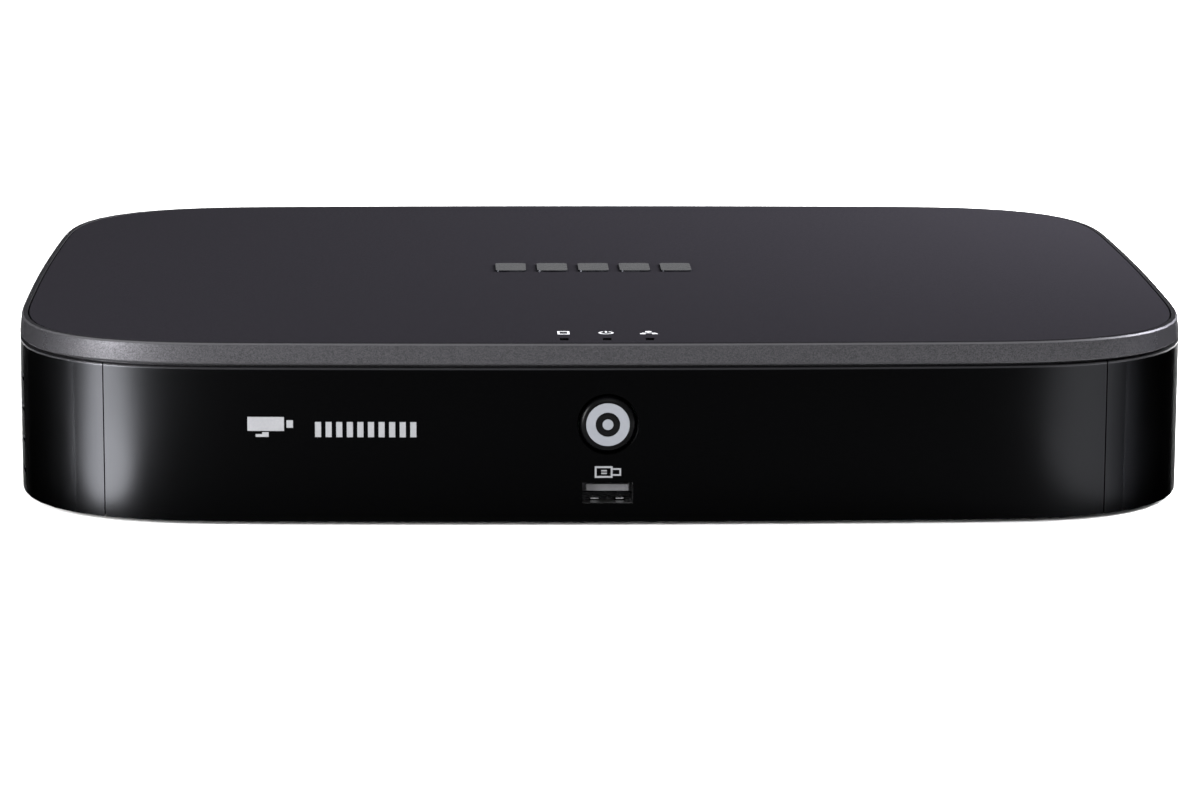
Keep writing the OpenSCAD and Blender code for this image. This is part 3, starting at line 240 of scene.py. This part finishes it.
# lid: metallic grey paint with a very fine grain
lid = material("metallic_grey", (0.045, 0.0445, 0.048), 0.5, metal=0.85, spec=0.0, edge=0.0)
flakes = lid.node_tree.nodes.new("ShaderNodeTexVoronoi")
flakes.inputs["Scale"].default_value = FLAKE_SCALE
lid.node_tree.links.new(coords(lid), flakes.inputs["Vector"])
tone = lid.node_tree.nodes.new("ShaderNodeSeparateColor")
lid.node_tree.links.new(flakes.outputs["Color"], tone.inputs["Color"])
tint = blend(lid, tone.outputs[0], FLAKE_DARK, FLAKE_LIGHT)
lid.node_tree.links.new(tint.outputs["Color"], shader(lid).inputs["Base Color"])
# painted highlight on the two chamfers of the band
glint_edges(lid, "lid_frame")
sheen = remap(lid, tone.outputs[1], 0.42, 0.56, 0, 1)
lid.node_tree.links.new(sheen, shader(lid).inputs["Roughness"])
wear("lid_frame", lid)

# case and front: near black
black_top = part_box("front_panel")[1][2]
for n, name, rough, patch, tooth, strength in (
    ("lower_case", "case_black", 0.34, 35, 2400, 0.12),
    ("front_panel", "face_black", 0.32, 30, 3000, 0.05),
):
    black = material(name, BLACK, rough, metal=1.0, spec=BLACK_SPEC, edge=BLACK_EDGE)
    vary_rough(black, patch, rough - 0.02, rough + 0.02, detail=3)
    grain(black, tooth, strength)
    # paler paint along the top edge of each black part: a painted highlight
    painted_edge_highlight(black, black_top)
    wear(n, black)

sheet_black = plastic("coated_steel_black", (0.02, 0.02, 0.022), 0.5, 0.3, 0.5, 1500)
wear("rear_panel", sheet_black)

badge = metal("dark_chrome", (0.1, 0.102, 0.116), 0.22, brushed=(1, 12, 1), edge=0.38)
wear("top_badge", badge)

for n, name, light in (("status_icons", "pale_ink", 0.4), ("front_print", "grey_ink", 0.17)):
    ink = material(name, (light, light, light * 1.05), 0.5, spec=0.1)
    vary_colour(ink, 1500, (light * 0.94, light * 0.95, light), (light, light * 1.01, light * 1.06))
    wear(n, ink)

window = material("smoked_clear", (0.006, 0.006, 0.007), 0.12, metal=1.0, edge=0.08)
vary_rough(window, 300, 0.08, 0.16)
wear("light_pipes", window)

rubber = plastic("rubber_black", (0.018, 0.018, 0.018), 0.75, 0.2, 0.5, 900)
wear("rubber_feet", rubber)

black_screw = metal("black_oxide", (0.06, 0.06, 0.065), 0.38)
for n in ("case_screws", "fan_screws"):
    wear(n, black_screw)
zinc = metal("zinc_steel", (0.62, 0.62, 0.64), 0.28)
for n in ("board_screws", "drive_screws", "ground_screw"):
    wear(n, zinc)

# boards: solder mask with paler tracks
mask = material("solder_mask", (0.01, 0.07, 0.03), 0.3, spec=0.5)
vary_colour(mask, 260, (0.006, 0.05, 0.022), (0.014, 0.1, 0.045), 0.46, 0.5, detail=5)
for n in ("front_board", "main_board", "drive_board"):
    wear(n, mask)

moulded = plastic("moulded_black", (0.012, 0.012, 0.013), 0.42, 0.4, 0.3)
for n in ("switch_body", "board_chips", "cell_holder", "bnc_housings", "rca_housing", "hdmi_tongue",
          "lan_insert", "rear_usb_tongue", "dc_jack", "fan_frame", "fan_rotor"):
    wear(n, moulded)
tongue = plastic("tongue_grey", (0.06, 0.06, 0.064), 0.4, 0.4, 0.2)
wear("front_usb_tongue", tongue)
ivory = plastic("moulded_ivory", (0.72, 0.69, 0.6), 0.45, 0.4, 0.1)
for n in ("switch_plunger", "board_headers", "rca_insulators"):
    wear(n, ivory)
white = plastic("moulded_white", (0.8, 0.79, 0.76), 0.4, 0.4, 0.1)
wear("bnc_insulators", white)

cap = material("button_black", (0.0007, 0.0007, 0.0009), 0.3, spec=0.05)
vary_rough(cap, 90, 0.22, 0.3)
wear("button_cap", cap)
ring = material("button_grey", (0.15, 0.156, 0.172), 0.4, spec=0.1)
vary_rough(ring, 90, 0.34, 0.42)
wear("button_ring", ring)

lens = material("lamp_lens", (0.75, 0.74, 0.62), 0.2)
vary_rough(lens, 400, 0.15, 0.25)
wear("front_leds", lens)

nickel = metal("bright_nickel", (0.38, 0.375, 0.365), 0.24)
wear("front_usb_shell", metal("dull_nickel", (0.2, 0.2, 0.205), 0.24))
for n in ("bnc_barrels", "rca_barrels", "vga_shell", "vga_jackscrews", "hdmi_shell",
          "lan_shell", "rear_usb_shell", "dc_pin", "coin_cell"):
    wear(n, nickel)
gold = metal("gold_plate", (0.8, 0.58, 0.22), 0.22)
wear("bnc_contacts", gold)
blue = plastic("moulded_blue", (0.012, 0.035, 0.2), 0.4, 0.4, 0.1)
wear("vga_insulator", blue)
can = metal("capacitor_can", (0.5, 0.51, 0.54), 0.3)
wear("board_capacitors", can)
fins = metal("anodised_grey", (0.2, 0.21, 0.23), 0.4)
wear("heat_sink", fins)
cast = metal("cast_aluminium", (0.42, 0.43, 0.45), 0.48)
grain(cast, 700, 0.4)
wear("drive_casting", cast)
bright = metal("brushed_bright", (0.6, 0.61, 0.63), 0.25, brushed=(1, 30, 1))
for n in ("drive_cover", "drive_actuator", "drive_magnets"):
    wear(n, bright)
mirror = metal("disc_mirror", (0.8, 0.81, 0.83), 0.05)
wear("drive_platters", mirror)
for n, name, colour in (
    ("front_cable", "cable_grey", (0.45, 0.45, 0.47)),
    ("fan_cable", "cable_black", (0.02, 0.02, 0.022)),
    ("sata_power_cable", "cable_dark", (0.025, 0.025, 0.027)),
    ("sata_data_cable", "cable_red", (0.35, 0.015, 0.012)),
):
    wear(n, plastic(name, colour, 0.5, 0.4, 0.1))

# ---------------------------------------------------------------- soft edges on the CAD nodes

def shading_group(angle):
    """Node group that shades smooth, and keeps edges sharper than angle crisp."""
    g = bpy.data.node_groups.new("shade_by_angle", "GeometryNodeTree")
    g.interface.new_socket("Geometry", in_out="INPUT", socket_type="NodeSocketGeometry")
    g.interface.new_socket("Geometry", in_out="OUTPUT", socket_type="NodeSocketGeometry")
    start = g.nodes.new("NodeGroupInput")
    end = g.nodes.new("NodeGroupOutput")
    drop = g.nodes.new("GeometryNodeRemoveAttribute")
    drop.inputs["Name"].default_value = "custom_normal"
    faces = g.nodes.new("GeometryNodeSetShadeSmooth")
    faces.domain = "FACE"
    faces.inputs["Shade Smooth"].default_value = True
    edges = g.nodes.new("GeometryNodeSetShadeSmooth")
    edges.domain = "EDGE"
    edges.inputs["Shade Smooth"].default_value = False
    turn = g.nodes.new("GeometryNodeInputMeshEdgeAngle")
    sharp = g.nodes.new("FunctionNodeCompare")
    sharp.operation = "GREATER_THAN"
    sharp.inputs[1].default_value = angle
    g.links.new(turn.outputs["Unsigned Angle"], sharp.inputs[0])
    g.links.new(sharp.outputs[0], edges.inputs["Selection"])
    g.links.new(start.outputs[0], drop.inputs["Geometry"])
    g.links.new(drop.outputs["Geometry"], faces.inputs["Geometry"])
    g.links.new(faces.outputs["Geometry"], edges.inputs["Geometry"])
    g.links.new(edges.outputs["Geometry"], end.inputs[0])
    return g


SHARP = math.radians(24)
BEVEL_SHARP = math.radians(35)
WELD_GAP = 0.000002
BEVELS = {"button_cap": 0.0001}
smooth_group = shading_group(SHARP)


def smooth(node, bevel=None):
    o = NODES[node]
    weld = o.modifiers.new("weld", "WELD")
    weld.merge_threshold = WELD_GAP
    if bevel:
        b = o.modifiers.new("bevel", "BEVEL")
        b.width = bevel
        b.segments = 3
        b.limit_method = "ANGLE"
        b.angle_limit = BEVEL_SHARP
        b.miter_outer = "MITER_ARC"
        b.use_clamp_overlap = True
    shade = o.modifiers.new("shade", "NODES")
    shade.node_group = smooth_group


for n in NODES:
    smooth(n, BEVELS.get(n))

# ---------------------------------------------------------------- floor, light and sky

def quad(name, size):
    me = bpy.data.meshes.new(name)
    s = size / 2
    me.from_pydata([(-s, -s, 0), (s, -s, 0), (s, s, 0), (-s, s, 0)], [], [(0, 1, 2, 3)])
    o = bpy.data.objects.new(name, me)
    bpy.context.scene.collection.objects.link(o)
    return o


FLOOR_SIZE = 24
floor = quad("floor", FLOOR_SIZE)
paper = material("paper_white", (0.92, 0.92, 0.92), 0.9, spec=0.0)
vary_rough(paper, 3, 0.85, 0.95)
wear(floor, paper)


def soft_light(name, at, toward, size, watts):
    d = bpy.data.lights.new(name, "AREA")
    d.shape = "RECTANGLE"
    d.size, d.size_y = size
    d.energy = watts
    o = bpy.data.objects.new(name, d)
    o.location = at
    o.rotation_mode = "QUATERNION"
    o.rotation_quaternion = (Vector(toward) - Vector(at)).to_track_quat("-Z", "Y")
    bpy.context.scene.collection.objects.link(o)
    return o


def floor_card(name, corner, turn, size, watts):
    """A glowing card that slopes up from the floor, away from a corner of the case.

    Only the black parts mirror it. turn is how far it swings round from straight ahead or behind."""
    out = Vector((math.copysign(math.sin(turn), corner[0]), math.copysign(math.cos(turn), corner[1]), 0))
    at = Vector((*corner, CARD_Z)) + out * CARD_REACH
    normal = Vector((0, 0, math.cos(CARD_SLOPE))) - out * math.sin(CARD_SLOPE)
    card = soft_light(name, at, at + normal, size, watts)
    card.data.shape = "ELLIPSE"
    card.light_linking.receiver_collection = black_parts
    card.visible_camera = False
    card.visible_diffuse = False


CARD_Z = 0.028
CARD_REACH = 0.143
CARD_SLOPE = math.radians(12)
CORNER_X = 0.124
FRONT_Y = -0.114
REAR_Y = 0.11
black_parts = bpy.data.collections.new("black_parts")
for n in ("lower_case", "front_panel"):
    black_parts.objects.link(NODES[n])
for name, corner, turn, size, watts in (
    ("left_card", (-CORNER_X, FRONT_Y), 57, (0.062, 0.26), 13.5),
    ("right_card", (CORNER_X, FRONT_Y), 54, (0.12, 0.26), 3),
    ("rear_left_card", (-CORNER_X, REAR_Y), 50, (0.1, 0.26), 6),
    ("rear_right_card", (CORNER_X, REAR_Y), 50, (0.1, 0.26), 6),
):
    floor_card(name, corner, math.radians(turn), size, watts)
soft_light("left_strip", (-0.55, -0.42, 0.17), (-0.12, -0.1, 0.03), (0.17, 0.3), 10)
soft_light("right_box", (0.45, 0.17, 0.25), (0.08, 0.06, 0.04), (0.3, 0.3), 17)
soft_light("front_fill", (0.1, -1.7, 1.3), (0, 0, 0), (1.4, 0.8), 12)

SKY_STRENGTH = 1.05
world = bpy.data.worlds.new("sky")
world.use_nodes = True
sky = next(n for n in world.node_tree.nodes if n.type == "BACKGROUND")
sky.inputs["Color"].default_value = (1, 1, 1, 1)
sky.inputs["Strength"].default_value = SKY_STRENGTH
bpy.context.scene.world = world
bpy.context.scene.view_settings.view_transform = "Standard"
